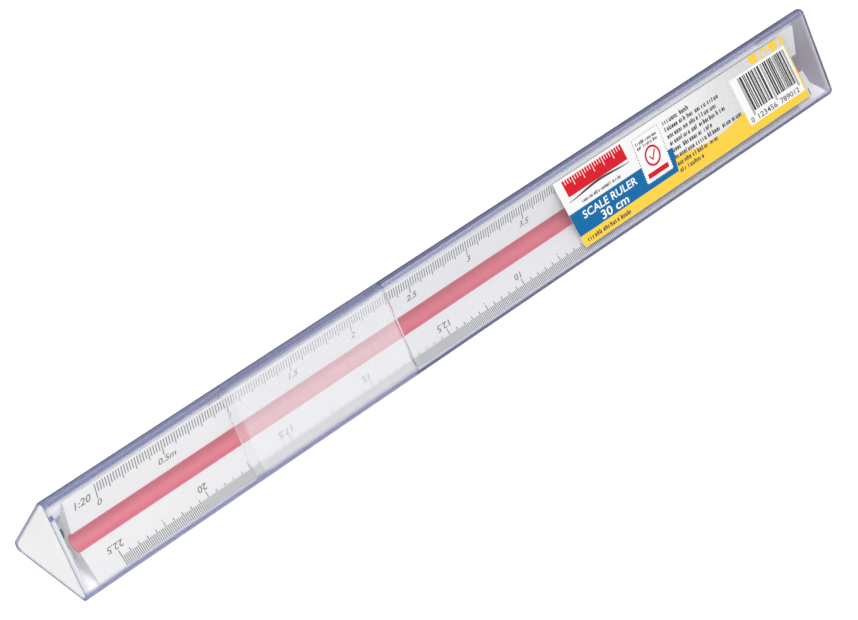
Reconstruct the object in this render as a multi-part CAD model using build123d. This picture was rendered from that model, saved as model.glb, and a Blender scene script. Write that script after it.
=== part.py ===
"""Triangular scale ruler in its two-part clear case.

Row frame: +X along the length, +Z up, the printed front face of the case looks towards -Y and up.
The origin is at the middle of the flat base that the case rests on. All sizes are in millimetres.
Every cross-section is a threefold figure about the one axis that runs along X through the middle
of the case, so the case is drawn as nested rounded triangles, each a stated depth below the outside.
"""

import os
from math import cos, radians, sin, sqrt, tan

from build123d import *

# ---- case, outside ----
CASE_LENGTH = 334.0
CASE_SIDE = 35.5  # side of the outer triangle before its corners are rounded
CASE_CORNER_R = 2.2
CAP_LENGTH = 132.5  # left half, from the left end to the joint
JOINT_CHAMFER = 0.25  # on the outer edges that meet at the joint
JOINT_GAP = 0.08

# ---- left half: a sleeve with a plate let into its end ----
CAP_WALL = 0.9
CAP_BORE_R = 1.1
END_PLATE_T = 1.4
END_PLATE_RECESS = 0.3
GLUE_GAP = 0.03
NOTCH_LENGTH = 1.2  # small notch moulded in the outer edge of the front wall, at the left end
NOTCH_WIDTH = 1.3
NOTCH_DEPTH = 0.5
NOTCH_FROM_APEX = 7.0  # along the front face from the apex of the outer triangle

# ---- right half: a tube with a closed end and a reduced neck ----
TUBE_WALL = 1.6
TUBE_BORE_R = 0.45
TUBE_END_WALL = 1.5
TUBE_END_EDGE_R = 2.0
TUBE_END_PLATE_T = 1.0
NECK_START = 66.4  # from the left end of the case
NECK_GAP = 0.1
NECK_CORNER_R = 1.6
TIP_STEP = 0.25  # the neck's tip is this much smaller all round
TIP_LAND = 3.4
TIP_RAMP = 2.9
GRIP_LENGTH = 7.0  # corner ribs beside the joint, which hold the two halves together
GRIP_RAMP = 2.5
GRIP_CORNER_R = 1.15

# ---- ruler ----
RULER_LENGTH = 320.4
ZERO_FROM_CASE_END = 17.7  # the zero line, from the left end of the case
ZERO_FROM_RULER_END = 11.5
RULER_SIDE = 27.8  # triangle that touches the three rounded tips
RULER_TIP_R = 0.4
RULER_LIFT = 0.05  # above the floor of the bore
RULER_SHIFT = -0.95  # along Y: the loose ruler lies against the front wall
BAND_ANGLE = 17.0  # slope of the printed bands, in from each tip
GROOVE_R = 3.1
GROOVE_DEPTH = 6.6  # from the line across two tips to the bottom of the groove
LINING_T = 0.3

# ---- label on the front face of the right half ----
LABEL_T = 0.1
LABEL_LEFT_TOP = 206.7  # from the left end of the case
LABEL_WIDTH = 112.4
LABEL_SHEAR = 3.0  # how far the lower edge is set to the right of the upper edge
LABEL_TOP = 5.6  # along the front face from the apex of the outer triangle
LABEL_HEIGHT = 24.0

OVERSHOOT = 1.0  # how far a bore cut runs past an open end

# ---- derived ----
LEFT_END = -CASE_LENGTH / 2
JOINT_X = LEFT_END + CAP_LENGTH
AXIS_Z = CASE_SIDE / (2 * sqrt(3))  # height of the case's middle line above its base
APEX_Z = CASE_SIDE * sqrt(3) / 2
FRONT_FACE_TILT = 30.0  # the front face's outward normal, above the horizontal


def triangle(side, corner_r, x, axis_z=AXIS_Z):
    """A rounded triangle, flat side down, in the plane at x, centred on the line z = axis_z."""
    plane = Plane(origin=(x, 0, axis_z), x_dir=(0, 1, 0), z_dir=(1, 0, 0))
    radius = side / sqrt(3)
    outline = Polygon(*[(radius * cos(radians(a)), radius * sin(radians(a))) for a in (90, 210, 330)],
                      align=None)
    return plane * fillet(outline.vertices(), corner_r)


def inset_triangle(inset, corner_r, x):
    """The case's cross-section, inset millimetres below its outer faces."""
    return triangle(CASE_SIDE - 2 * sqrt(3) * inset, corner_r, x)


def prism(inset, corner_r, x_start, x_end):
    """A rounded triangular bar from x_start to x_end, inset below the outside of the case."""
    return extrude(inset_triangle(inset, corner_r, x_start), x_end - x_start, dir=(1, 0, 0))


def ramp(inset_a, r_a, x_a, inset_b, r_b, x_b):
    """A bar that changes from one inset and corner radius to another."""
    return loft([inset_triangle(inset_a, r_a, x_a), inset_triangle(inset_b, r_b, x_b)], ruled=True)


def edges_at(solid, x):
    """The edges that lie in the plane at x."""
    return solid.edges().filter_by_position(Axis.X, x - 0.001, x + 0.001)


def on_front_face(x, from_apex, lift=0.0):
    """A point on the case's front face, or lift above it."""
    tilt = radians(FRONT_FACE_TILT)
    y = -from_apex * sin(tilt) - lift * cos(tilt)
    z = APEX_Z - from_apex * cos(tilt) + lift * sin(tilt)
    return (x, y, z)


def front_plane(x, from_apex, lift=0.0):
    """A sketch plane on the front face: local x along the case, local y up the face."""
    tilt = radians(FRONT_FACE_TILT)
    return Plane(origin=on_front_face(x, from_apex, lift), x_dir=(1, 0, 0), z_dir=(0, -cos(tilt), sin(tilt)))


def case_cap():
    """The left half: an open sleeve with a small notch at its end."""
    sleeve = prism(0, CASE_CORNER_R, LEFT_END, JOINT_X)
    sleeve = chamfer(edges_at(sleeve, JOINT_X), JOINT_CHAMFER)
    sleeve -= prism(CAP_WALL, CAP_BORE_R, LEFT_END - OVERSHOOT, JOINT_X + OVERSHOOT)
    notch = Box(2 * NOTCH_LENGTH, NOTCH_WIDTH, 2 * NOTCH_DEPTH)  # half of it lies outside the sleeve
    return sleeve - front_plane(LEFT_END, NOTCH_FROM_APEX) * notch


def cap_end_plate():
    """The plate let into the left end of the sleeve."""
    start = LEFT_END + END_PLATE_RECESS
    return prism(CAP_WALL + GLUE_GAP, CAP_BORE_R, start, start + END_PLATE_T)


def neck(start, end):
    """The outside of the reduced neck: stepped tip, ramp, plain length and corner grip ribs."""
    outer = CAP_WALL + NECK_GAP
    tip_end = start + TIP_LAND
    ramp_end = tip_end + TIP_RAMP
    grip_start = end - GRIP_LENGTH
    grip_full = grip_start + GRIP_RAMP
    solid = prism(outer + TIP_STEP, NECK_CORNER_R, start, tip_end)
    solid += ramp(outer + TIP_STEP, NECK_CORNER_R, tip_end, outer, NECK_CORNER_R, ramp_end)
    solid += prism(outer, NECK_CORNER_R, ramp_end, grip_start)
    solid += ramp(outer, NECK_CORNER_R, grip_start, outer, GRIP_CORNER_R, grip_full)
    return solid + prism(outer, GRIP_CORNER_R, grip_full, end)


def case_tube():
    """The right half: closed at its right end, with the neck that enters the left half."""
    shoulder = JOINT_X + JOINT_GAP
    right_end = LEFT_END + CASE_LENGTH
    body = prism(0, CASE_CORNER_R, shoulder, right_end)
    body = fillet(edges_at(body, right_end), TUBE_END_EDGE_R)
    body = chamfer(edges_at(body, shoulder), JOINT_CHAMFER)
    neck_start = LEFT_END + NECK_START
    body += neck(neck_start, shoulder)
    return body - prism(TUBE_WALL, TUBE_BORE_R, neck_start - OVERSHOOT, right_end - TUBE_END_WALL)


def tube_end_plate():
    """The plate that lines the closed end of the right half."""
    end = LEFT_END + CASE_LENGTH - TUBE_END_WALL - GLUE_GAP
    return prism(TUBE_WALL + GLUE_GAP, TUBE_BORE_R, end - TUBE_END_PLATE_T, end)


RULER_START = LEFT_END + ZERO_FROM_CASE_END - ZERO_FROM_RULER_END
RULER_AXIS_Z = TUBE_WALL + RULER_LIFT + RULER_SIDE / (2 * sqrt(3))
GROOVE_CENTRE = RULER_SIDE / (2 * sqrt(3)) - GROOVE_DEPTH + GROOVE_R  # distance from the ruler's middle line


def ruler_plane():
    """The plane of the ruler's left end, centred on its middle line."""
    return Plane(origin=(RULER_START, RULER_SHIFT, RULER_AXIS_Z), x_dir=(0, 1, 0), z_dir=(1, 0, 0))


def ruler_outline():
    """The ruler's section before its grooves: a triangle whose sides fall in towards their middles."""
    half_wedge = radians(30 - BAND_ANGLE)
    tip_centre = RULER_SIDE / sqrt(3) - 2 * RULER_TIP_R
    tip = tip_centre + RULER_TIP_R / sin(half_wedge)
    tip_to_middle = tip * cos(radians(30))
    waist = tip * sin(radians(30)) - tip_to_middle * tan(radians(BAND_ANGLE))
    points = []
    for turn in (90, 210, 330):
        points.append((tip * cos(radians(turn)), tip * sin(radians(turn))))
        points.append((waist * cos(radians(turn + 60)), waist * sin(radians(turn + 60))))
    outline = Polygon(*points, align=None)
    tips = [v for v in outline.vertices() if Vector(v.X, v.Y).length > tip - 0.01]
    return fillet(tips, RULER_TIP_R)


def groove_disc(turn, radius):
    """A disc centred in the groove of the face whose normal is at this angle."""
    centre = (GROOVE_CENTRE * cos(radians(turn)), GROOVE_CENTRE * sin(radians(turn)))
    return Pos(*centre) * Circle(radius)


GROOVES = {"red": 150, "green": 30, "blue": 270}  # angle of each face's normal, from +Y towards +Z


def ruler_body():
    """The white ruler with its three half-round grooves."""
    section = ruler_outline()
    for turn in GROOVES.values():
        section -= groove_disc(turn, GROOVE_R)
    return extrude(ruler_plane() * section, RULER_LENGTH, dir=(1, 0, 0))


def groove_lining(turn):
    """The coloured strip that lines one groove."""
    ring = groove_disc(turn, GROOVE_R) - groove_disc(turn, GROOVE_R - LINING_T)
    return extrude(ruler_plane() * (ring & ruler_outline()), RULER_LENGTH, dir=(1, 0, 0))


def case_label():
    """The label: a thin parallelogram on the front face of the right half."""
    outline = Polygon((0, 0), (LABEL_SHEAR, -LABEL_HEIGHT), (LABEL_WIDTH + LABEL_SHEAR, -LABEL_HEIGHT),
                      (LABEL_WIDTH, 0), align=None)
    plane = front_plane(LEFT_END + LABEL_LEFT_TOP, LABEL_TOP)
    return extrude(plane * outline, LABEL_T, dir=plane.z_dir)


def main():
    os.makedirs("parts", exist_ok=True)
    parts = {
        "case_cap": case_cap(),
        "cap_end_plate": cap_end_plate(),
        "case_tube": case_tube(),
        "tube_end_plate": tube_end_plate(),
        "case_label": case_label(),
        "ruler_body": ruler_body(),
    }
    for colour, turn in GROOVES.items():
        parts[f"groove_lining_{colour}"] = groove_lining(turn)
    for name, shape in parts.items():
        export_step(shape, f"parts/{name}.step")


main()
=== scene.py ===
"""Looks for the triangular scale ruler in its clear two-part case.

Lengths are in millimetres until a mesh is made. The frame is the part's own: +X along the case, +Z up,
the printed front face towards -Y and up, the origin in the middle of the face that the case rests on.
"""
import random
from math import atan2, cos, degrees, pi, radians, sin, sqrt

import bmesh
import bpy
from mathutils import Matrix, Quaternion, Vector


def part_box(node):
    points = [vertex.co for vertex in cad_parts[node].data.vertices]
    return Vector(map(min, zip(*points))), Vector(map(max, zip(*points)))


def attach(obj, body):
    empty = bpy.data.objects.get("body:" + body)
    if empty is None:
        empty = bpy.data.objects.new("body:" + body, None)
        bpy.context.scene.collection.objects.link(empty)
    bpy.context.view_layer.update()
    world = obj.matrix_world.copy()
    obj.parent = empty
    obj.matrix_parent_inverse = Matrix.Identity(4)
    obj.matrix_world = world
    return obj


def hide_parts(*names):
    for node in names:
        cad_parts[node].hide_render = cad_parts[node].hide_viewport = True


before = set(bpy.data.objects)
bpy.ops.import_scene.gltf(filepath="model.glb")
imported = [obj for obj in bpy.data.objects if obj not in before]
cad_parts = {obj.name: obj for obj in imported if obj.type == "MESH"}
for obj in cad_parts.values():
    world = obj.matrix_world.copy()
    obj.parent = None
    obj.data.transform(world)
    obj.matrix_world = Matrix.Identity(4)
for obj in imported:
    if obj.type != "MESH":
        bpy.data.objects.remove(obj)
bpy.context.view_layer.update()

MM = 0.001
random.seed(7)

# ---- sizes that the CAD model shares ----
CASE_CORNER_R = 2.2
CAP_WALL = 0.9
CAP_BORE_R = 1.1
TUBE_WALL = 1.6
TUBE_BORE_R = 0.45
TUBE_END_WALL = 1.5
TUBE_END_EDGE_R = 2.0
NECK_GAP = 0.1
NECK_CORNER_R = 1.6
TIP_STEP = 0.25
TIP_LAND = 3.4
TIP_RAMP = 2.9
GRIP_LENGTH = 7.0
GRIP_RAMP = 2.5
GRIP_CORNER_R = 1.15
JOINT_CHAMFER = 0.25
JOINT_GAP = 0.08
GLUE_GAP = 0.03
NOTCH_LENGTH = 1.2
NOTCH_WIDTH = 1.3
NOTCH_DEPTH = 0.5
NOTCH_FROM_APEX = 7.0
RULER_TIP_R = 0.4
BAND_ANGLE = 17.0
GROOVE_R = 3.1
GROOVE_DEPTH = 6.6
LINING_T = 0.3
ZERO_FROM_RULER_END = 11.5
SCALE_LENGTH = 300.0
LABEL_SHEAR = 3.0
LABEL_TOP = 5.6
LABEL_HEIGHT = 24.0

# ---- detail that only the looks have ----
ARC_STEPS = 14  # segments in each rounded corner
GROOVE_STEPS = 30
TIP_STEPS = 12
SUPPORT = 0.15  # a second row of points this far from a corner keeps the flat faces flat in shading
CAP_END_ROUND = 0.18
BORE_EASE = 0.1  # lead-in at the mouth of each bore
MOUTH_EASE = 0.08
TIP_EASE = 0.12  # on the outer edge of the neck's tip
PLATE_BEVEL = 0.25
RULER_BEVEL = 0.18
PRINT_T = 0.025
PRINT_SINK = 0.01  # how far each mark starts below the surface it lies on
SHARP_ANGLE = radians(30)


def box_mm(node):
    """The CAD node's lowest and highest corners, in millimetres."""
    low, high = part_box(node)
    return low / MM, high / MM


cap_low, cap_high = box_mm("case_cap")
tube_low, tube_high = box_mm("case_tube")
ruler_low, ruler_high = box_mm("ruler_body")
label_low, label_high = box_mm("case_label")

LEFT_END = cap_low.x
JOINT_X = cap_high.x
NECK_START = tube_low.x
RIGHT_END = tube_high.x
CASE_SIDE = cap_high.y - cap_low.y + 2 * (sqrt(3) - 1) * CASE_CORNER_R
AXIS_Z = CASE_SIDE / (2 * sqrt(3))
APEX_Z = CASE_SIDE * sqrt(3) / 2
RULER_SIDE = ruler_high.y - ruler_low.y + 2 * (sqrt(3) - 1) * RULER_TIP_R
TIP_CENTRE = RULER_SIDE / sqrt(3) - 2 * RULER_TIP_R  # distance of a tip's arc centre from the ruler's middle
RULER_AXIS_Z = ruler_high.z - TIP_CENTRE - RULER_TIP_R
RULER_AXIS_Y = (ruler_low.y + ruler_high.y) / 2
GROOVE_CENTRE = RULER_SIDE / (2 * sqrt(3)) - GROOVE_DEPTH + GROOVE_R
ZERO_X = ruler_low.x + ZERO_FROM_RULER_END
CORNER_TURNS = (90, 210, 330)
FACE_TURNS = {"red": 150, "blue": 270, "green": 30}  # each face's outward normal, from +Y towards +Z


# ---------------------------------------------------------------- mesh helpers

def link(name, mesh, material, body):
    """Puts a finished mesh, already in metres, in the scene as a piece that rides on a body."""
    if material:
        mesh.materials.append(material)
    piece = bpy.data.objects.new(name, mesh)
    bpy.context.scene.collection.objects.link(piece)
    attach(piece, body)
    return piece


def mesh_from(name, points, faces, smooth=True):
    """A mesh from points in millimetres, smooth except across sharp edges."""
    mesh = bpy.data.meshes.new(name)
    mesh.from_pydata([Vector(p) * MM for p in points], [], faces)
    mesh.validate()
    if smooth:
        mesh.shade_smooth()
        mesh.set_sharp_from_angle(angle=SHARP_ANGLE)
    return mesh


def arc(centre, radius, start, end, steps):
    """Points (y, z) on an arc, angles in degrees."""
    points = []
    for i in range(steps + 1):
        a = radians(start + (end - start) * i / steps)
        points.append((centre[0] + radius * cos(a), centre[1] + radius * sin(a)))
    return points


def case_section(inset, corner_r):
    """The case's outline, inset below its outer faces, as (y, z) points around it."""
    reach = (CASE_SIDE - 2 * sqrt(3) * inset) / sqrt(3) - 2 * corner_r
    points = []
    for turn in CORNER_TURNS:
        centre = (reach * cos(radians(turn)), AXIS_Z + reach * sin(radians(turn)))
        corner = arc(centre, corner_r, turn - 60, turn + 60, ARC_STEPS)
        points.append(beside(corner[0], turn - 150))
        points += corner
        points.append(beside(corner[-1], turn + 150))
    return points


def beside(point, direction):
    """The support point next to a corner's end, along the flat face."""
    return (point[0] + SUPPORT * cos(radians(direction)), point[1] + SUPPORT * sin(radians(direction)))


def sweep(name, rings, closed=False):
    """A mesh through rings of (x, section); a closed one joins its last ring to its first."""
    points = []
    faces = []
    count = len(rings[0][1])
    for x, section in rings:
        points += [(x, y, z) for y, z in section]
    last = len(rings) if closed else len(rings) - 1
    for i in range(last):
        a = i * count
        b = (i + 1) % len(rings) * count
        for j in range(count):
            k = (j + 1) % count
            faces.append((a + j, a + k, b + k, b + j))
    if not closed:
        faces.append(tuple(reversed(range(count))))
        faces.append(tuple(range((len(rings) - 1) * count, len(rings) * count)))
    return mesh_from(name, points, faces)


def with_supports(rings, spacing=SUPPORT):
    """Adds a ring near each end of every long stretch, so that smooth shading stays near the edges."""
    result = []
    for i, (x, inset, corner_r) in enumerate(rings):
        result.append((x, inset, corner_r))
        if i + 1 == len(rings):
            break
        next_x, next_inset, next_r = rings[i + 1]
        length = abs(next_x - x)
        if length > 4 * spacing:
            for part in (spacing / length, 1 - spacing / length):
                result.append((x + (next_x - x) * part, inset + (next_inset - inset) * part,
                               corner_r + (next_r - corner_r) * part))
    return [(x, case_section(inset, corner_r)) for x, inset, corner_r in result]


# ---------------------------------------------------------------- materials

class Nodes:
    """A small helper that makes a material's nodes and links."""

    def __init__(self, name):
        self.material = bpy.data.materials.new(name)
        self.material.use_nodes = True
        self.tree = self.material.node_tree
        self.tree.nodes.clear()
        self.output = self.tree.nodes.new("ShaderNodeOutputMaterial")

    def add(self, kind, inputs=None, **settings):
        node = self.tree.nodes.new("ShaderNode" + kind)
        for key, value in settings.items():
            setattr(node, key, value)
        for key, value in (inputs or {}).items():
            if isinstance(value, bpy.types.NodeSocket):
                self.tree.links.new(value, node.inputs[key])
            else:
                node.inputs[key].default_value = value
        return node

    def place(self):
        """The point's place in the object's own frame, in metres."""
        return self.add("TexCoord").outputs["Object"]

    def noise(self, scale, detail=3.0, stretch=(1, 1, 1)):
        """Noise with features of about 1 / scale metres, stretched along the axes."""
        mapping = self.add("Mapping", {"Vector": self.place(), "Scale": stretch})
        texture = self.add("TexNoise", {"Vector": mapping.outputs[0], "Scale": scale, "Detail": detail})
        return texture.outputs["Fac"]

    def ramp(self, value, low, high, to_low, to_high):
        """Maps a value from one range to another, smoothly."""
        node = self.add("MapRange", {"Value": value, "From Min": low, "From Max": high, "To Min": to_low,
                                     "To Max": to_high}, interpolation_type="SMOOTHSTEP")
        return node.outputs["Result"]

    def blend(self, factor, a, b):
        """A colour between a and b."""
        node = self.add("Mix", data_type="RGBA")
        for socket, value in ((node.inputs["Factor"], factor), (node.inputs[6], a), (node.inputs[7], b)):
            if isinstance(value, bpy.types.NodeSocket):
                self.tree.links.new(value, socket)
            else:
                socket.default_value = value
        return node.outputs[2]

    def math(self, operation, a, b=0.0):
        node = self.add("Math", {0: a, 1: b}, operation=operation)
        return node.outputs[0]

    def bump(self, height, strength, distance):
        node = self.add("Bump", {"Height": height, "Strength": strength, "Distance": distance})
        return node.outputs["Normal"]

    def finish(self, surface, volume=None):
        self.tree.links.new(surface, self.output.inputs["Surface"])
        if volume:
            self.tree.links.new(volume, self.output.inputs["Volume"])
        return self.material


FLOW_SCALE = 60  # scales of noise, in features per metre
GLOSS_SCALE = 900
GRAIN_SCALE = 2600
COVER_SCALE = 5200
INK_GLOSS_SCALE = 1500
FIBRE_SCALE = 1200
FIBRE_GRAIN_SCALE = 3000
SCUFF_SCALE = 260
WAVE_SCALE = 45
GRAIN_DEPTH = 0.0001  # in metres
WAVE_DEPTH = 0.0006
PAPER_TONE = 0.8  # what thin ink shows of the ground below it


def moulded_plastic(name, colour, variation=0.03, roughness=0.35, grain=0.02, subsurface=0.0):
    """Opaque moulded plastic: faint flow marks along X, fine grain, and small changes of gloss."""
    m = Nodes(name)
    flow = m.noise(FLOW_SCALE, 4, (0.15, 1, 1))
    dark = [c * (1 - variation) for c in colour] + [1]
    light = [min(1, c * (1 + variation)) for c in colour] + [1]
    tone = m.blend(m.ramp(flow, 0.35, 0.65, 0, 1), dark, light)
    gloss = m.ramp(m.noise(GLOSS_SCALE, 3), 0.3, 0.7, roughness - 0.05, roughness + 0.06)
    normal = m.bump(m.noise(GRAIN_SCALE, 2), grain, GRAIN_DEPTH)
    shader = m.add("BsdfPrincipled", {"Base Color": tone, "Roughness": gloss, "Normal": normal, "IOR": 1.5,
                                      "Subsurface Weight": subsurface, "Subsurface Radius": (0.6, 0.5, 0.5),
                                      "Subsurface Scale": 0.001})
    return m.finish(shader.outputs[0])


def printed(name, colour, roughness=0.38, fade=0.12):
    """Ink: slightly uneven cover, as a screen or pad print has."""
    m = Nodes(name)
    cover = m.ramp(m.noise(COVER_SCALE, 2), 0.3, 0.7, 0, 1)
    thin = [c + (PAPER_TONE - c) * fade for c in colour] + [1]
    tone = m.blend(cover, list(colour) + [1], thin)
    gloss = m.ramp(m.noise(INK_GLOSS_SCALE, 2), 0.3, 0.7, roughness - 0.05, roughness + 0.05)
    shader = m.add("BsdfPrincipled", {"Base Color": tone, "Roughness": gloss, "IOR": 1.48,
                                      "Specular IOR Level": 0.12})
    return m.finish(shader.outputs[0])


def label_stock(name, left_x, right_x):
    """The label's own film: white, greyer towards its right end, with a faint cloud of fibres."""
    m = Nodes(name)
    split = m.add("SeparateXYZ", {0: m.place()})
    along = m.ramp(split.outputs["X"], left_x * MM, right_x * MM, 0, 1)
    base = m.blend(along, (0.83, 0.83, 0.83, 1), (0.60, 0.60, 0.61, 1))
    fibre = m.ramp(m.noise(FIBRE_SCALE, 4), 0.3, 0.7, 0, 0.25)
    tone = m.blend(fibre, base, (0.9, 0.9, 0.9, 1))
    gloss = m.ramp(fibre, 0, 0.25, 0.34, 0.44)
    normal = m.bump(m.noise(FIBRE_GRAIN_SCALE, 2), 0.03, GRAIN_DEPTH)
    shader = m.add("BsdfPrincipled", {"Base Color": tone, "Roughness": gloss, "IOR": 1.48,
                                      "Specular IOR Level": 0.2, "Normal": normal})
    return m.finish(shader.outputs[0])


OPEN_AIR = (0.97, 0.97, 0.975, 1)  # what shadows and bounced light see of the clear plastic
ABSORB_COLOUR = (0.70, 0.72, 0.90, 1)
ABSORB_DENSITY = 40.0
MILK = (0.98, 0.98, 0.98, 1)  # the faint veil that lies on the clear plastic
# painted shade: the dark violet that light passing the long way through the rounded corners gives them
EDGE_PAINTED_SHADE = (0.195, 0.21, 0.38, 1)
# painted shade: the violet-grey line that light gives the cut and closed ends
RIM_PAINTED_SHADE = (0.50, 0.52, 0.68, 1)
FILM = 0.015  # how much of a plain face the veil covers
EDGE_SHADE_SHARE = 0.33  # how much of the rounded corners the painted shade covers
RIM_SHADE_SHARE = 0.30  # how much of the cut or closed end the painted shade covers
RIM_LENGTH = 1.1
HAZE_ABOVE = 0.19  # how much of the neck inside the sleeve the veil covers, above and below the step; the extra below it is a painted reflection
HAZE_AND_REFLECTION_BELOW = 0.22
HAZE_STEP_Z = 15.85
HAZE_SOFT = 0.4  # half the width over which the haze starts and stops
EDGE_FADE = (2.1, 0.5)  # where the corners' painted shade starts and is full, in from their outer points
SCUFF = 0.012  # the roughest that scuffs make it
WAVE = 0.002


def clear_plastic(name, end_x, painted_edge_shade, neck=None):
    """Clear polystyrene, hazy along its neck if it has one, with painted shade making it violet in its
    corners and at end_x, and a painted reflection making the neck's haze whiter below the step.

    neck lists where the haze grows, and by what share at each place.
    """
    m = Nodes(name)
    split = m.add("SeparateXYZ", {0: m.place()})
    x, y, z = split.outputs
    up = m.math("SUBTRACT", z, AXIS_Z * MM)
    from_axis = m.math("SQRT", m.math("ADD", m.math("MULTIPLY", y, y), m.math("MULTIPLY", up, up)))
    corner = (CASE_SIDE / sqrt(3) - CASE_CORNER_R) * MM  # where the rounded corners' outer points lie
    edge = m.ramp(from_axis, corner - EDGE_FADE[0] * MM, corner - EDGE_FADE[1] * MM, 0, 1)
    from_end = m.math("ABSOLUTE", m.math("SUBTRACT", x, end_x * MM))
    rim = m.ramp(from_end, 0.5 * RIM_LENGTH * MM, RIM_LENGTH * MM, 1, 0)
    # painted shade: the glass is tinted violet in its corners for the light's long path through them
    tint = m.blend(edge, (1, 1, 1, 1), painted_edge_shade)
    scuff = m.ramp(m.noise(SCUFF_SCALE, 5, (0.4, 1, 1)), 0.45, 0.75, 0.0, SCUFF)
    wave = m.bump(m.noise(WAVE_SCALE, 2, (0.25, 1, 1)), WAVE, WAVE_DEPTH)
    glass = m.add("BsdfPrincipled", {"Base Color": tint, "Roughness": scuff, "IOR": 1.59, "Normal": wave,
                                     "Transmission Weight": 1.0})
    amount = m.math("ADD", m.math("MULTIPLY", edge, EDGE_SHADE_SHARE), m.math("MULTIPLY", rim, RIM_SHADE_SHARE))
    if neck:
        soft = HAZE_SOFT * MM
        steps = [m.ramp(x, at * MM - soft, at * MM + soft, 0, share) for at, share in neck]
        stop = m.ramp(x, JOINT_X * MM - soft, JOINT_X * MM, 1, 0)
        # painted reflection: the veil over the neck is thicker below the step
        depth = m.ramp(z, HAZE_STEP_Z * MM - soft, HAZE_STEP_Z * MM + soft, HAZE_AND_REFLECTION_BELOW, HAZE_ABOVE)
        cover = m.math("MULTIPLY", m.math("ADD", *steps), m.math("MULTIPLY", stop, depth))
        amount = m.math("ADD", amount, m.math("MULTIPLY", cover, m.math("SUBTRACT", 1.0, edge)))
    amount = m.math("ADD", amount, FILM)
    # the veil is white on plain faces and along the neck, and painted shade in the corners and at the ends
    veil = m.add("BsdfDiffuse", {"Color": m.blend(edge, m.blend(rim, MILK, RIM_PAINTED_SHADE), EDGE_PAINTED_SHADE)})
    surface = m.add("MixShader", {0: amount, 1: glass.outputs[0], 2: veil.outputs[0]}).outputs[0]
    path = m.add("LightPath")
    open_air = m.add("BsdfTransparent", {"Color": OPEN_AIR})
    for ray in ("Is Shadow Ray", "Is Diffuse Ray"):
        mix = m.add("MixShader", {0: path.outputs[ray], 1: surface, 2: open_air.outputs[0]})
        surface = mix.outputs[0]
    volume = m.add("VolumeAbsorption", {"Color": ABSORB_COLOUR, "Density": ABSORB_DENSITY})
    return m.finish(surface, volume.outputs[0])


# ---------------------------------------------------------------- the case

def front_matrix(x, from_apex):
    """Turns label coordinates (right, up the face, out of it) into the frame, from a place on the face."""
    tilt = radians(30)
    origin = Vector((x, -from_apex * sin(tilt), APEX_Z - from_apex * cos(tilt)))
    out = Vector((0, -cos(tilt), sin(tilt)))
    up = Vector((0, sin(tilt), cos(tilt)))
    matrix = Matrix((Vector((1, 0, 0)), up, out)).transposed().to_4x4()
    matrix.translation = origin
    return matrix


def cut_notch(mesh, shell_material, notch_material):
    """Cuts the small notch in the outer edge of the sleeve's front wall, with its own rougher faces, opaque
    and in painted shade.
    """
    cutter = bpy.data.meshes.new("notch_cutter")
    build = bmesh.new()
    bmesh.ops.create_cube(build, size=1)
    size = Matrix.Diagonal((2 * NOTCH_LENGTH * MM, NOTCH_WIDTH * MM, 2 * NOTCH_DEPTH * MM, 1))
    place = front_matrix(LEFT_END, NOTCH_FROM_APEX)
    place.translation *= MM
    build.transform(place @ size)
    for face in build.faces:
        face.material_index = 1
    build.to_mesh(cutter)
    build.free()
    for target in (mesh, cutter):
        target.materials.append(shell_material)
        target.materials.append(notch_material)
    tool = bpy.data.objects.new("notch_cutter", cutter)
    shell = bpy.data.objects.new("notch_shell", mesh)
    bpy.context.scene.collection.objects.link(tool)
    bpy.context.scene.collection.objects.link(shell)
    cut = shell.modifiers.new("notch", "BOOLEAN")
    cut.object = tool
    cut.operation = "DIFFERENCE"
    cut.solver = "EXACT"
    result = bpy.data.meshes.new_from_object(shell.evaluated_get(bpy.context.evaluated_depsgraph_get()))
    bpy.data.objects.remove(tool)
    bpy.data.objects.remove(shell)
    result.shade_smooth()
    result.set_sharp_from_angle(angle=SHARP_ANGLE)
    return result


def cap_mesh(shell_material, notch_material):
    """The sleeve: along its bore to the left end, then back along its outside to the joint."""
    r = CAP_END_ROUND
    start = LEFT_END
    rings = [(JOINT_X, CAP_WALL, CAP_BORE_R),
             (start + BORE_EASE, CAP_WALL, CAP_BORE_R),
             (start, CAP_WALL - BORE_EASE, CAP_BORE_R + BORE_EASE),
             (start, r, CASE_CORNER_R - r)]
    for step in (30, 60, 90):
        a = radians(step)
        depth = r * (1 - sin(a))
        rings.append((start + r * (1 - cos(a)), depth, CASE_CORNER_R - depth))
    c = JOINT_CHAMFER
    rings += [(JOINT_X - c, 0, CASE_CORNER_R), (JOINT_X, c, CASE_CORNER_R - c)]
    shell = sweep("cap_shell", with_supports(rings), closed=True)
    return cut_notch(shell, shell_material, notch_material)


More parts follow.
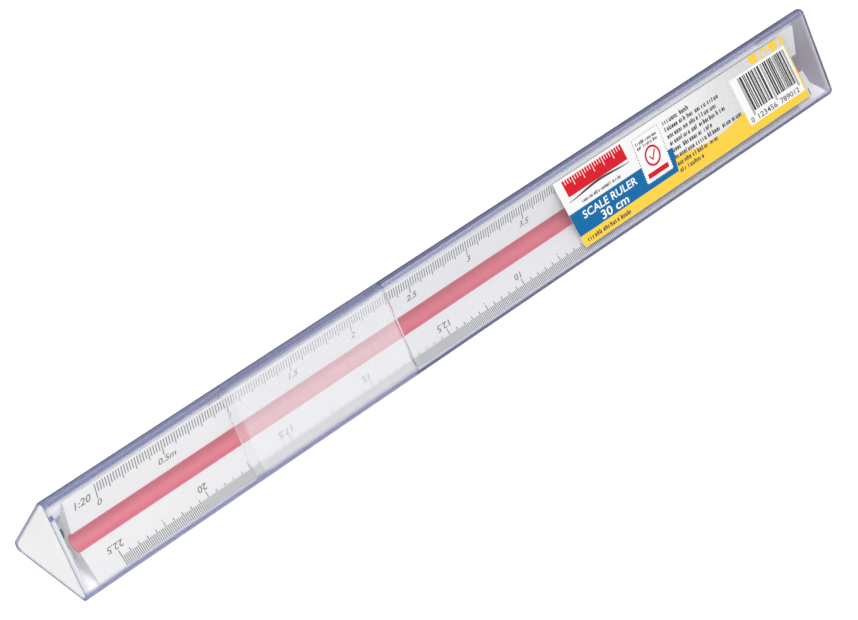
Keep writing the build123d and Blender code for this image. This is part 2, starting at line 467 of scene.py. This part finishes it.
def tube_mesh():
    """The tube: from the closed end of its bore to the mouth, then back over the neck and the body."""
    outer = CAP_WALL + NECK_GAP
    tip = outer + TIP_STEP
    shoulder = JOINT_X + JOINT_GAP
    c = JOINT_CHAMFER
    rings = [(RIGHT_END - TUBE_END_WALL, TUBE_WALL, TUBE_BORE_R),
             (NECK_START + BORE_EASE, TUBE_WALL, TUBE_BORE_R),
             (NECK_START, TUBE_WALL - MOUTH_EASE, TUBE_BORE_R + MOUTH_EASE),
             (NECK_START, tip + TIP_EASE, NECK_CORNER_R - TIP_EASE),
             (NECK_START + TIP_EASE, tip, NECK_CORNER_R),
             (NECK_START + TIP_LAND, tip, NECK_CORNER_R),
             (NECK_START + TIP_LAND + TIP_RAMP, outer, NECK_CORNER_R),
             (shoulder - GRIP_LENGTH, outer, NECK_CORNER_R),
             (shoulder - GRIP_LENGTH + GRIP_RAMP, outer, GRIP_CORNER_R),
             (shoulder, outer, GRIP_CORNER_R),
             (shoulder, c, CASE_CORNER_R - c),
             (shoulder + c, 0, CASE_CORNER_R)]
    r = TUBE_END_EDGE_R
    for step in range(0, 91, 10):
        a = radians(step)
        depth = r * (1 - cos(a))
        rings.append((RIGHT_END - r + r * sin(a), depth, CASE_CORNER_R - depth))
    return sweep("tube_shell", with_supports(rings))


def plate_mesh(name, node, inset, corner_r):
    """A closing plate with eased edges."""
    low, high = box_mm(node)
    b = PLATE_BEVEL
    rings = [(low.x, inset + b, corner_r - b / 2), (low.x + b, inset, corner_r),
             (high.x - b, inset, corner_r), (high.x, inset + b, corner_r - b / 2)]
    return sweep(name, with_supports(rings))


# ---------------------------------------------------------------- the ruler

def band(turn, side):
    """One printed band of the ruler: its edge point at the tip, the way up to the tip, and its normal."""
    n = Vector((cos(radians(turn)), sin(radians(turn))))
    u = Vector((n.y, -n.x)) * side
    slope = radians(BAND_ANGLE)
    up = u * cos(slope) + n * sin(slope)
    out = n * cos(slope) - u * sin(slope)
    centre = u * (TIP_CENTRE * cos(radians(30))) + n * (TIP_CENTRE * sin(radians(30)))
    return centre + out * RULER_TIP_R, up, out


def groove_reach(turn, side, radius):
    """Where a circle about the groove's centre meets the band: its angle about that centre, in degrees."""
    edge, up, out = band(turn, side)
    n = Vector((cos(radians(turn)), sin(radians(turn))))
    to_edge = edge - n * GROOVE_CENTRE
    along = to_edge.dot(up)
    gap = to_edge.dot(out)
    point = to_edge - up * (along - sqrt(radius * radius - gap * gap))
    angle = degrees(atan2(point.y, point.x)) - turn
    return (angle + 180) % 360 - 180


def groove_arc(turn, radius, steps):
    """The inside of a groove, from the band that comes first anticlockwise to the other one."""
    start = turn + groove_reach(turn, 1, radius)
    end = turn - 360 + groove_reach(turn, -1, radius)
    centre = (RULER_AXIS_Y + GROOVE_CENTRE * cos(radians(turn)),
              RULER_AXIS_Z + GROOVE_CENTRE * sin(radians(turn)))
    return arc(centre, radius, start, end, steps)


def ruler_section():
    """The ruler's outline, from the top tip around through its three grooves."""
    points = []
    for turn, groove in zip(CORNER_TURNS, ("red", "blue", "green")):
        centre = (RULER_AXIS_Y + TIP_CENTRE * cos(radians(turn)),
                  RULER_AXIS_Z + TIP_CENTRE * sin(radians(turn)))
        half = 60 + BAND_ANGLE
        points += arc(centre, RULER_TIP_R, turn - half, turn + half, TIP_STEPS)
        points += groove_arc(FACE_TURNS[groove], GROOVE_R, GROOVE_STEPS)
    return points


def lining_section(turn):
    """The section of the coloured strip in one groove."""
    outer = groove_arc(turn, GROOVE_R, GROOVE_STEPS)
    inner = groove_arc(turn, GROOVE_R - LINING_T, GROOVE_STEPS)
    return inner + outer[::-1]


def scaled(section, factor):
    """A section drawn in towards the ruler's middle."""
    y0, z0 = RULER_AXIS_Y, RULER_AXIS_Z
    return [(y0 + (y - y0) * factor, z0 + (z - z0) * factor) for y, z in section]


def ruler_sweep(name, section, start, end):
    """A bar of this section with its end edges eased."""
    small = scaled(section, 1 - RULER_BEVEL / TIP_CENTRE)
    b = RULER_BEVEL
    rings = [(start, small), (start + b, section), (start + 2 * b, section),
             (end - 2 * b, section), (end - b, section), (end, small)]
    return sweep(name, rings)


# ---------------------------------------------------------------- printing

CAPITAL_SHARE = 0.73  # height of the font's capitals, as a share of its size


class Print:
    """Collects flat marks, each a thin closed solid on a plane, into one mesh."""

    def __init__(self, matrix, shear=0.0):
        self.matrix = matrix
        self.shear = shear
        self.points = []
        self.faces = []

    def put(self, x, y, z):
        self.points.append(self.matrix @ Vector((x - self.shear * y, y, z)))

    def prism(self, outline, low, high):
        """A flat shape, given anticlockwise as (right, up) points, from one height to another."""
        base = len(self.points)
        count = len(outline)
        for z in (low, high):
            for x, y in outline:
                self.put(x, y, z)
        self.faces.append(tuple(base + i for i in reversed(range(count))))
        self.faces.append(tuple(base + count + i for i in range(count)))
        for i in range(count):
            j = (i + 1) % count
            self.faces.append((base + i, base + j, base + count + j, base + count + i))

    def bar(self, x, y, width, height, low, high):
        self.prism([(x, y), (x + width, y), (x + width, y + height), (x, y + height)], low, high)

    def ring(self, x, y, outer, inner, low, high, steps=40):
        """A flat ring, made of joined blocks."""
        for i in range(steps):
            a = 2 * pi * i / steps
            b = 2 * pi * (i + 1) / steps
            self.prism([(x + inner * cos(a), y + inner * sin(a)), (x + outer * cos(a), y + outer * sin(a)),
                        (x + outer * cos(b), y + outer * sin(b)), (x + inner * cos(b), y + inner * sin(b))],
                       low, high)

    def text(self, words, x, y, height, low, high, align="CENTER", slant=0.0, weight=0.0, widen=1.0,
             width=None):
        """Words with capitals of this height, their base line at y; a given width stretches them to fit."""
        curve = bpy.data.curves.new("words", "FONT")
        curve.body = words
        curve.size = height / CAPITAL_SHARE
        curve.align_x = align
        curve.shear = slant
        curve.offset = weight
        curve.extrude = (high - low) / 2
        curve.resolution_u = 3
        carrier = bpy.data.objects.new("words", curve)
        bpy.context.scene.collection.objects.link(carrier)
        mesh = bpy.data.meshes.new_from_object(carrier.evaluated_get(bpy.context.evaluated_depsgraph_get()))
        bpy.data.objects.remove(carrier)
        build = bmesh.new()
        build.from_mesh(mesh)
        bmesh.ops.remove_doubles(build, verts=build.verts, dist=1e-5)
        bmesh.ops.recalc_face_normals(build, faces=build.faces)
        build.verts.ensure_lookup_table()
        spread = [v.co.x for v in build.verts]
        stretch = width / (max(spread) - min(spread)) if width else widen
        base = len(self.points)
        for v in build.verts:
            self.put(x + v.co.x * stretch, y + v.co.y, v.co.z + (low + high) / 2)
        for f in build.faces:
            self.faces.append(tuple(base + v.index for v in f.verts))
        build.free()

    def finish(self, name, material, body, slot):
        return link(name, mesh_from(name, self.points, self.faces, smooth=False), material, body)


# Each scale: its title, its lines in all, and how many lines apart the middle, long and numbered ones are.
# unit is how many metres one line stands for, offset how far along X the scale is printed off its place,
# and share how much of the spacing between two lines one line takes.
SCALES = {
    ("red", 1): dict(title="1:20", lines=300, middle=5, long=25, numbered=25, unit=0.02),
    ("red", -1): dict(title="1:75", lines=450, middle=5, long=25, numbered=50, unit=0.05, offset=-1.2,
                      share=0.46),
    ("green", 1): dict(title="1:25", lines=375, middle=5, long=25, numbered=25, unit=0.02),
    ("green", -1): dict(title="1:50", lines=300, middle=5, long=20, numbered=20, unit=0.05),
    ("blue", 1): dict(title="1:100", lines=300, middle=5, long=10, numbered=10, unit=0.1),
    ("blue", -1): dict(title="1:125", lines=375, middle=5, long=25, numbered=25, unit=0.1),
}
LINE_LENGTHS = (3.1, 4.0, 4.6, 5.1)  # short, middle, long, numbered
LINE_SHARE = 0.34
LINE_START = 0.05  # in from the band's edge at the tip
DOT_R = 0.2  # the dot below each long line that has no number
DOT_GAP = 0.6
NUMBER_HEIGHT = 2.0
NUMBER_GAP = 0.25
NUMBER_WIDEN = 1.28
TITLE_HEIGHT = 2.4
TITLE_WIDTH = 6.2
TITLE_PLACE = (-9.05, -4.3)
UNIT_SHIFT = 0.6  # the number that carries the unit is centred on its figures alone
SLANT = 0.2
WEIGHT = 0.03  # how much the strokes of numbers and titles are thickened


def band_matrix(turn, side, offset):
    """Turns a band's coordinates (along its scale, towards the tip, out of it) into the frame."""
    edge, up, out = band(turn, side)
    right = Vector((side, 0, 0))
    up3 = Vector((0, up.x, up.y))
    out3 = Vector((0, out.x, out.y))
    matrix = Matrix((right, up3, out3)).transposed().to_4x4()
    zero = ZERO_X if side == 1 else ZERO_X + SCALE_LENGTH
    matrix.translation = Vector((zero + offset, edge.x + RULER_AXIS_Y, edge.y + RULER_AXIS_Z))
    return matrix


def number_text(value, first_unit):
    """A scale's number, with its unit beside the first one after zero."""
    words = f"{value:.1f}".rstrip("0").rstrip(".")
    return words + "m" if first_unit else words


def print_scale(groove, side, title, lines, middle, long, numbered, unit, offset=0.0,
                share=LINE_SHARE):
    """The lines, numbers and title of one scale, as one piece on the ruler."""
    marks = Print(band_matrix(FACE_TURNS[groove], side, offset))
    step = SCALE_LENGTH / lines
    line = share * step
    ink = (-PRINT_SINK, PRINT_T)
    for i in range(lines + 1):
        rank = sum(i % every == 0 for every in (middle, long, numbered))
        length = LINE_LENGTHS[rank]
        marks.bar(i * step - line / 2, -length, line, length - LINE_START, *ink)
        if rank == 2:
            marks.prism(disc(i * step, -length - DOT_GAP, DOT_R, 10), *ink)
        if rank == 3:
            words = number_text(i * unit, i == numbered)
            shift = UNIT_SHIFT if i == numbered else 0
            marks.text(words, i * step + shift, -length - NUMBER_GAP - NUMBER_HEIGHT, NUMBER_HEIGHT, *ink,
                       slant=SLANT, weight=WEIGHT, widen=NUMBER_WIDEN)
    marks.text(title, *TITLE_PLACE, TITLE_HEIGHT, *ink, align="LEFT", slant=SLANT, weight=WEIGHT,
               width=TITLE_WIDTH)
    marks.finish("scale_" + title.replace(":", "_"), inks["scale"], "ruler", "ruler_white")


# ---------------------------------------------------------------- the label

# Places on the label are right from its upper left corner and up from its upper edge, so they are below 0.
BASE_FOOT = 0.002
BASE_TOP = 0.02
LEVEL = 0.018  # each printed layer stands this much above the one below it
LABEL_EDGE = 0.05  # printing stops this far inside the film's edge
LABEL_WIDTH = label_high.x - label_low.x - LABEL_SHEAR
BAND_TOP = -11.9
BAND_FOOT = -20.0
BAND_RIGHT = (47.6, 49.7)  # of its lower and upper edges
PANEL_LEFT = 83.5
PANEL_TOP = -3.6
PANEL_SIZE = (28.1, 17.6)
STAMP_LEFT = 35.8
STAMP_TOP = -2.2
STAMP_SIZE = (12.9, 16.0)
TOOTH = 0.92  # spacing of the stamp's perforations
TOOTH_STEPS = 4  # points in each
TOOTH_BITE = 0.22  # half of how far each cuts in
STAMP_BORDER = 0.07
STAMP_RING = (-10.4, 3.5, 2.75)  # height of its middle, outer and inner radius
STAMP_TICK = ((-1.7, -10.2), (-0.5, -12.0), (1.9, -8.9), (1.5, -8.5), (-0.5, -11.1), (-1.3, -9.9))
STAMP_BAR = (1.6, -16.8, 1.7)  # in from each side, foot and height
STAMP_LINES = (-4.9, -6.4)  # base lines of its words
STAMP_WORDS = (1.2, 1.4, 1.25)  # in from the left and from the right, height


def layer(order):
    """The low and high faces of a printed layer."""
    return BASE_TOP - PRINT_SINK, BASE_TOP + order * LEVEL


def label_print(upright=False):
    """A collector for marks on the label; upright ones don't follow its slanted ends."""
    shear = 0.0 if upright else LABEL_SHEAR / LABEL_HEIGHT
    return Print(front_matrix(label_low.x, LABEL_TOP), shear)


def label_film():
    """The white film itself."""
    marks = label_print()
    marks.prism([(0, -LABEL_HEIGHT), (LABEL_WIDTH, -LABEL_HEIGHT), (LABEL_WIDTH, 0), (0, 0)],
                BASE_FOOT, BASE_TOP)
    piece = marks.finish("label_film", inks["film"], "tube", "label_film")
    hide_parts("case_label")


def clipped(outline):
    """Keeps a shape's points on the label."""
    e = LABEL_EDGE
    return [(min(max(x, e), LABEL_WIDTH - e), min(max(y, e - LABEL_HEIGHT), -e)) for x, y in outline]


def disc(x, y, r, steps=36):
    """A circle's points."""
    return [(x + r * cos(2 * pi * i / steps), y + r * sin(2 * pi * i / steps)) for i in range(steps)]


STROKE_SHARE = 0.21  # width of a stroke, as a share of the line's full height
LOW_LETTER = 0.7  # height of most letters
LETTER_GAP = 0.16
WORD_GAP = 0.4  # what is added to it between words


def pseudo_words(marks, x, y, end, height, order):
    """A line of small letter-like strokes that spell nothing, from x to end along the base line y."""
    low, high = layer(order)
    stroke = height * STROKE_SHARE
    while x < end - height:
        for _ in range(random.randint(3, 9)):
            wide = height * random.uniform(0.42, 0.6)
            tall = height * random.choice((LOW_LETTER, LOW_LETTER, LOW_LETTER, 1.0))
            kind = random.choice((0, 1, 2, 0, 1, 2, 3))
            marks.bar(x, y, stroke, tall, low, high)
            if kind in (0, 1):
                marks.bar(x + wide - stroke, y, stroke, height * LOW_LETTER, low, high)
            if kind in (0, 2):
                marks.bar(x + stroke, y + height * LOW_LETTER - stroke, wide - 2 * stroke, stroke, low, high)
            if kind in (1, 2):
                marks.bar(x + stroke, y, wide - 2 * stroke, stroke, low, high)
            x += wide + height * LETTER_GAP
            if x > end:
                break
        x += height * WORD_GAP


WAVE_LEVEL = -14.6
WAVE_DIP = 2.9
WAVE_START = 48.0
WAVE_LENGTH = 40.0
WAVE_LEFT = 46.0  # the wavy part of the ground starts here
WAVE_COLUMNS = 40
TOP_DOTS = ((97.0, -1.4, 2.05), (107.4, -1.4, 2.05), (112.7, -1.6, 2.0), (113.2, -5.4, 1.5),
            (113.2, -8.6, 1.4), (113.8, -12.6, 2.6))  # x, y and radius
TOP_RING = (102.4, -2.15, 2.05, 1.35)  # x, y, outer and inner radius


def wave_top(x):
    """The upper edge of the yellow ground to the right of the blue band."""
    return WAVE_LEVEL - WAVE_DIP * sin(pi * min(max((x - WAVE_START) / WAVE_LENGTH, 0), 1))


def yellow_ground():
    """The yellow along the label's foot, with a wavy top, and the dots along its upper right edges."""
    marks = label_print()
    low, high = layer(1)
    foot = LABEL_EDGE - LABEL_HEIGHT
    under_band = BAND_FOOT + 1
    run = LABEL_WIDTH - LABEL_EDGE - WAVE_LEFT
    marks.prism([(LABEL_EDGE, foot), (WAVE_LEFT, foot), (WAVE_LEFT, under_band), (LABEL_EDGE, under_band)],
                low, high)
    for i in range(WAVE_COLUMNS):
        a = WAVE_LEFT + run * i / WAVE_COLUMNS
        b = WAVE_LEFT + run * (i + 1) / WAVE_COLUMNS
        marks.prism([(a, foot), (b, foot), (b, wave_top(b)), (a, wave_top(a))], low, high)
    for x, y, r in TOP_DOTS:
        marks.prism(clipped(disc(x, y, r)), low, high)
    marks.ring(*TOP_RING, low, high)
    marks.finish("label_yellow", inks["yellow"], "tube", "label_film")


def blue_band():
    """The blue band, with its slanted right end."""
    marks = label_print()
    e = LABEL_EDGE
    marks.prism([(e, BAND_FOOT), (BAND_RIGHT[0], BAND_FOOT), (BAND_RIGHT[1], BAND_TOP), (e, BAND_TOP)],
                *layer(2))
    marks.finish("label_blue", inks["blue"], "tube", "label_film")


# Words on the blue band: their middle, base line, height, weight and width.
BAND_WORDS = {"SCALE RULER": (17.5, -15.6, 2.7, 0.05, 25.4), "30 cm": (17.6, -19.3, 3.0, 0.06, 12.8)}
BAND_SLANT = 0.12


def white_print():
    """The white panel for the code, and the words on the blue band."""
    marks = label_print()
    marks.bar(PANEL_LEFT, PANEL_TOP - PANEL_SIZE[1], *PANEL_SIZE, *layer(3))
    for words, (x, y, height, weight, width) in BAND_WORDS.items():
        marks.text(words, x, y, height, *layer(4), slant=BAND_SLANT, weight=weight, width=width)
    marks.finish("label_white", inks["white"], "tube", "label_film")


def stamp_outline(grow):
    """The stamp's edge, with half-round teeth all round it, moved outwards by grow."""
    x, y = STAMP_LEFT - grow, STAMP_TOP - STAMP_SIZE[1] - grow
    right, top = STAMP_LEFT + STAMP_SIZE[0] + grow, STAMP_TOP + grow
    corners = [(x, y), (right, y), (right, top), (x, top)]
    points = []
    for i, (x0, y0) in enumerate(corners):
        x1, y1 = corners[(i + 1) % 4]
        length = abs(x1 - x0) + abs(y1 - y0)
        teeth = round(length / TOOTH)
        along = ((x1 - x0) / length, (y1 - y0) / length)
        inward = (-along[1], along[0])
        for j in range(teeth * TOOTH_STEPS):
            s = length * j / (teeth * TOOTH_STEPS)
            bite = TOOTH_BITE * (1 - cos(2 * pi * j / TOOTH_STEPS))
            points.append((x0 + along[0] * s + inward[0] * bite, y0 + along[1] * s + inward[1] * bite))
    return points


def stamp():
    """A plain perforated stamp: words above a red ring with a tick in it, and a red bar below."""
    border = label_print(upright=True)
    border.prism(stamp_outline(STAMP_BORDER), *layer(2))
    border.finish("stamp_border", inks["dark"], "tube", "label_film")
    paper = label_print(upright=True)
    paper.prism(stamp_outline(0), *layer(3))
    paper.finish("stamp_paper", inks["white"], "tube", "label_film")
    middle = STAMP_LEFT + STAMP_SIZE[0] / 2
    red = label_print(upright=True)
    low, high = layer(4)
    red.ring(middle, *STAMP_RING, low, high)
    red.prism([(middle + x, y) for x, y in STAMP_TICK], low, high)
    inset, foot, height = STAMP_BAR
    red.bar(STAMP_LEFT + inset, foot, STAMP_SIZE[0] - 2 * inset, height, low, high)
    red.finish("stamp_red", inks["red"], "tube", "label_film")
    words = label_print(upright=True)
    from_left, from_right, height = STAMP_WORDS
    for y in STAMP_LINES:
        pseudo_words(words, STAMP_LEFT + from_left, y, STAMP_LEFT + STAMP_SIZE[0] - from_right, height, 4)
    words.finish("stamp_words", inks["dark"], "tube", "label_film")


RULE = (3.4, 31.2, -6.7, -1.0)  # left, right, foot and top
RULE_SPACES = 24
RULE_LONG_CUT = 3.1
RULE_CUT = 1.7
RULE_HALF_CUT = 0.17
STROKE_START = (2.4, -8.3)
STROKE_LENGTH = 29.0
STROKE_ARCH = 0.9
STROKE_RISE = 0.5
STROKE_HALF = (0.06, 0.32)  # half its width at the ends, and what is added in the middle
STROKE_STEPS = 24


def emblem():
    """A generic emblem: a red rule with lines cut into its edge, over a dark swelling stroke."""
    red = label_print()
    left, right, foot, top = RULE
    space = (right - left) / RULE_SPACES
    outline = [(left, foot), (right, foot), (right, top)]
    for i in range(RULE_SPACES - 1, 0, -1):
        depth = RULE_LONG_CUT if i % 4 == 0 else RULE_CUT
        x = left + i * space
        a, b = x + RULE_HALF_CUT, x - RULE_HALF_CUT
        outline += [(a, top), (a, top - depth), (b, top - depth), (b, top)]
    outline.append((left, top))
    red.prism(outline, *layer(2))
    red.finish("label_emblem", inks["red"], "tube", "label_film")
    dark = label_print()
    upper = []
    lower = []
    for i in range(STROKE_STEPS + 1):
        t = i / STROKE_STEPS
        x = STROKE_START[0] + STROKE_LENGTH * t
        y = STROKE_START[1] + STROKE_ARCH * sin(pi * t) ** 2 + STROKE_RISE * t
        half = STROKE_HALF[0] + STROKE_HALF[1] * sin(pi * t)
        upper.append((x, y + half))
        lower.append((x, y - half))
    dark.prism(lower + upper[::-1], *layer(2))
    dark.finish("label_stroke", inks["dark"], "tube", "label_film")


CODE_MODULES = 95
CODE_GUARDS = (0, 2, 46, 48, 92, 94)
CODE_HALVES = ((4, 45), (51, 91))  # where the random bars of each half start and stop
CODE_LEFT = 86.9
CODE_RIGHT = 110.6
CODE_TOP = -4.5
GUARD_FOOT = -18.6
BAR_FOOT = -17.3
CODE_NUMBERS = (("0", 85.4, 1.4), ("123456", 92.8, 9.6), ("789012", 104.6, 9.6))  # middle and width
CODE_NUMBER_HEIGHT = 1.95
CODE_NUMBER_FOOT = -20.6
CODE_WEIGHT = 0.02


def code_panel():
    """Bars of random widths between longer guard bars, over a run of counting numbers."""
    marks = label_print()
    low, high = layer(4)
    module = (CODE_RIGHT - CODE_LEFT) / CODE_MODULES
    bars = [(place, 1, GUARD_FOOT) for place in CODE_GUARDS]
    for place, end in CODE_HALVES:
        while place < end - 3:
            wide = random.choice((1, 2, 2, 3, 4))
            bars.append((place, wide, BAR_FOOT))
            place += wide + random.choice((1, 1, 2))
    for place, wide, foot in bars:
        marks.bar(CODE_LEFT + place * module, foot, wide * module, CODE_TOP - foot, low, high)
    for words, centre, width in CODE_NUMBERS:
        marks.text(words, centre, CODE_NUMBER_FOOT, CODE_NUMBER_HEIGHT, low, high, weight=CODE_WEIGHT,
                   width=width)
    marks.finish("label_code", inks["dark"], "tube", "label_film")


TEXT_ENDS = (62.5, 78.3, 74.4, 78.1, 72.1, 84.2, 71.0, 62.0)  # right ends of the lines beside the stamp
TEXT_LEFT = 50.8
TEXT_TOP = -3.9
TEXT_SPACING = 2.44
TEXT_HEIGHT = 1.65
MOTTO = (8.6, -10.7, 27.6, 1.1)  # left, base line, right and height of the line under the emblem
FOOT_LINE = (5.0, -22.8, 25.2, 1.6)


def small_print():
    """The lines of small words: eight beside the stamp, one under the emblem, one at the foot."""
    marks = label_print(upright=True)
    for i, end in enumerate(TEXT_ENDS):
        pseudo_words(marks, TEXT_LEFT, TEXT_TOP - TEXT_SPACING * i, end, TEXT_HEIGHT, 2)
    pseudo_words(marks, *MOTTO, 2)
    pseudo_words(marks, *FOOT_LINE, 2)
    marks.finish("label_words", inks["dark"], "tube", "label_film")


# ---------------------------------------------------------------- surroundings

FLOOR_GAP = 0.1  # keeps the floor from lying in the same plane as the case's underside
FLOOR_HALF = 3000  # half its side
FLOOR_NOISE_SCALE = 9
WORLD_STRENGTH = 0.49
KEY_PLACE = (-0.45, -0.48, 1.1)  # in metres, as its size is
KEY_SIZE = (0.9, 0.7)
KEY_WATTS = 11.5
BOUNCES = 20  # enough for light to pass every wall of the case


def floor():
    """A plain pale floor."""
    m = Nodes("floor_paper")
    cloud = m.ramp(m.noise(FLOOR_NOISE_SCALE, 2), 0.3, 0.7, 0, 1)
    tone = m.blend(cloud, (0.93, 0.93, 0.93, 1), (0.95, 0.95, 0.95, 1))
    shader = m.add("BsdfPrincipled", {"Base Color": tone, "Roughness": 0.9, "Specular IOR Level": 0.1,
                                      "Emission Color": (1, 1, 1, 1), "Emission Strength": 0.3})
    h = FLOOR_HALF
    z = -FLOOR_GAP
    mesh = mesh_from("floor", [(-h, -h, z), (h, -h, z), (h, h, z), (-h, h, z)], [(0, 1, 2, 3)], smooth=False)
    mesh.materials.append(m.finish(shader.outputs[0]))
    ground = bpy.data.objects.new("floor", mesh)
    bpy.context.scene.collection.objects.link(ground)


def softbox(name, place, target, size, watts):
    """A large soft lamp, places in metres."""
    data = bpy.data.lights.new(name, "AREA")
    data.shape = "RECTANGLE"
    data.size, data.size_y = size
    data.energy = watts
    lamp = bpy.data.objects.new(name, data)
    lamp.location = place
    lamp.rotation_euler = (Vector(place) - Vector(target)).to_track_quat("Z", "Y").to_euler()
    bpy.context.scene.collection.objects.link(lamp)


def studio():
    """Bright, even light from everywhere, with one soft lamp above the front."""
    world = bpy.data.worlds.new("studio")
    bpy.context.scene.world = world
    world.use_nodes = True
    background = world.node_tree.nodes["Background"]
    background.inputs["Color"].default_value = (1, 1, 1, 1)
    background.inputs["Strength"].default_value = WORLD_STRENGTH
    softbox("key", KEY_PLACE, (0, 0, 0), KEY_SIZE, KEY_WATTS)
    scene = bpy.context.scene
    scene.view_settings.view_transform = "Standard"
    scene.cycles.max_bounces = BOUNCES
    scene.cycles.transmission_bounces = BOUNCES
    scene.cycles.transparent_max_bounces = BOUNCES


CAMERA_AZIMUTH = radians(-43.99)
CAMERA_ELEVATION = radians(40.07)
CAMERA_ROLL = radians(-1.84)
CAMERA_TARGET = Vector((-12.79, 0.84, 4.16))
CAMERA_DISTANCE = 923.7
CAMERA_LENS = 123.94


def camera():
    """The camera, at the photograph's viewing angle."""
    data = bpy.data.cameras.new("camera")
    data.sensor_width = 36
    data.lens = CAMERA_LENS
    back = Vector((sin(CAMERA_AZIMUTH) * cos(CAMERA_ELEVATION), -cos(CAMERA_AZIMUTH) * cos(CAMERA_ELEVATION),
                   sin(CAMERA_ELEVATION)))
    eye = bpy.data.objects.new("camera", data)
    eye.location = (CAMERA_TARGET + back * CAMERA_DISTANCE) * MM
    eye.rotation_mode = "QUATERNION"
    eye.rotation_quaternion = back.to_track_quat("Z", "Y") @ Quaternion((0, 0, 1), CAMERA_ROLL)
    bpy.context.scene.collection.objects.link(eye)
    bpy.context.scene.camera = eye


# ---------------------------------------------------------------- the whole scene

GREY_FROM = 45  # the film starts to grey this far from its left end, and is greyest this far from its right
GREY_FULL = 15

inks = {
    "film": label_stock("label_stock", label_low.x + GREY_FROM, label_high.x - GREY_FULL),
    "white": printed("ink_white", (0.87, 0.87, 0.87), fade=0.0),
    "yellow": printed("ink_yellow", (0.90, 0.60, 0.05), fade=0.03),
    "blue": printed("ink_blue", (0.001, 0.135, 0.35), fade=0.01),
    "red": printed("ink_red", (0.64, 0.006, 0.02), fade=0.01),
    "dark": printed("ink_dark", (0.03, 0.03, 0.035), fade=0.06),
    "scale": printed("ink_scale", (0.16, 0.16, 0.17), fade=0.1),
}
white = moulded_plastic("ruler_white", (0.82, 0.82, 0.815), variation=0.012, roughness=0.33, subsurface=0.15)
plate_grey = moulded_plastic("plate_grey", (0.76, 0.76, 0.76), variation=0.02, roughness=0.5, grain=0.05)
# the tube's plate is the same light grey as the cap's; this darker copy is painted shade, for the shade it
# lies in at the tube's closed end
plate_painted_shade = moulded_plastic("plate_painted_shade", (0.42, 0.40, 0.46), variation=0.04, roughness=0.5, grain=0.05)
linings = {
    "red": moulded_plastic("groove_red", (0.74, 0.19, 0.26), variation=0.05, roughness=0.42),
    "green": moulded_plastic("groove_green", (0.02, 0.30, 0.22), variation=0.05, roughness=0.42),
    "blue": moulded_plastic("groove_blue", (0.03, 0.12, 0.42), variation=0.05, roughness=0.42),
}

# the last colour of each is the painted shade of its corners
clear_cap = clear_plastic("clear_cap", LEFT_END, (0.46, 0.48, 0.65, 1))
clear_tube = clear_plastic("clear_tube", RIGHT_END, (0.60, 0.62, 0.80, 1),
                           neck=((NECK_START, 0.45), (NECK_START + TIP_LAND, 0.55)))
# painted shade: the notch's faces are clear plastic, coloured here in the dark violet the cut shows
notch_painted_shade = moulded_plastic("notch_painted_shade", (0.24, 0.25, 0.46), variation=0.05, roughness=0.4, grain=0.06)
cap = link("cap_shell", cap_mesh(clear_cap, notch_painted_shade), None, "cap")
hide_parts("case_cap")
tube = link("tube_shell", tube_mesh(), clear_tube, "tube")
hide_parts("case_tube")
cap_plate = link("cap_plate", plate_mesh("cap_plate", "cap_end_plate", CAP_WALL + GLUE_GAP, CAP_BORE_R),
                 plate_grey, "cap")
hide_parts("cap_end_plate")
tube_plate = link("tube_plate", plate_mesh("tube_plate", "tube_end_plate", TUBE_WALL + GLUE_GAP, TUBE_BORE_R),
                  plate_painted_shade, "tube")
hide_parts("tube_end_plate")
body = link("ruler", ruler_sweep("ruler", ruler_section(), ruler_low.x, ruler_high.x),
            white, "ruler")
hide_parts("ruler_body")
for colour, turn in FACE_TURNS.items():
    node = "groove_lining_" + colour
    low, high = box_mm(node)
    lining = link("lining_" + colour, ruler_sweep("lining_" + colour, lining_section(turn), low.x, high.x),
                  linings[colour], "ruler")
    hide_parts(node)
for (groove, side), scale in SCALES.items():
    print_scale(groove, side, **scale)
label_film()
yellow_ground()
blue_band()
white_print()
stamp()
emblem()
code_panel()
small_print()
floor()
studio()
camera()
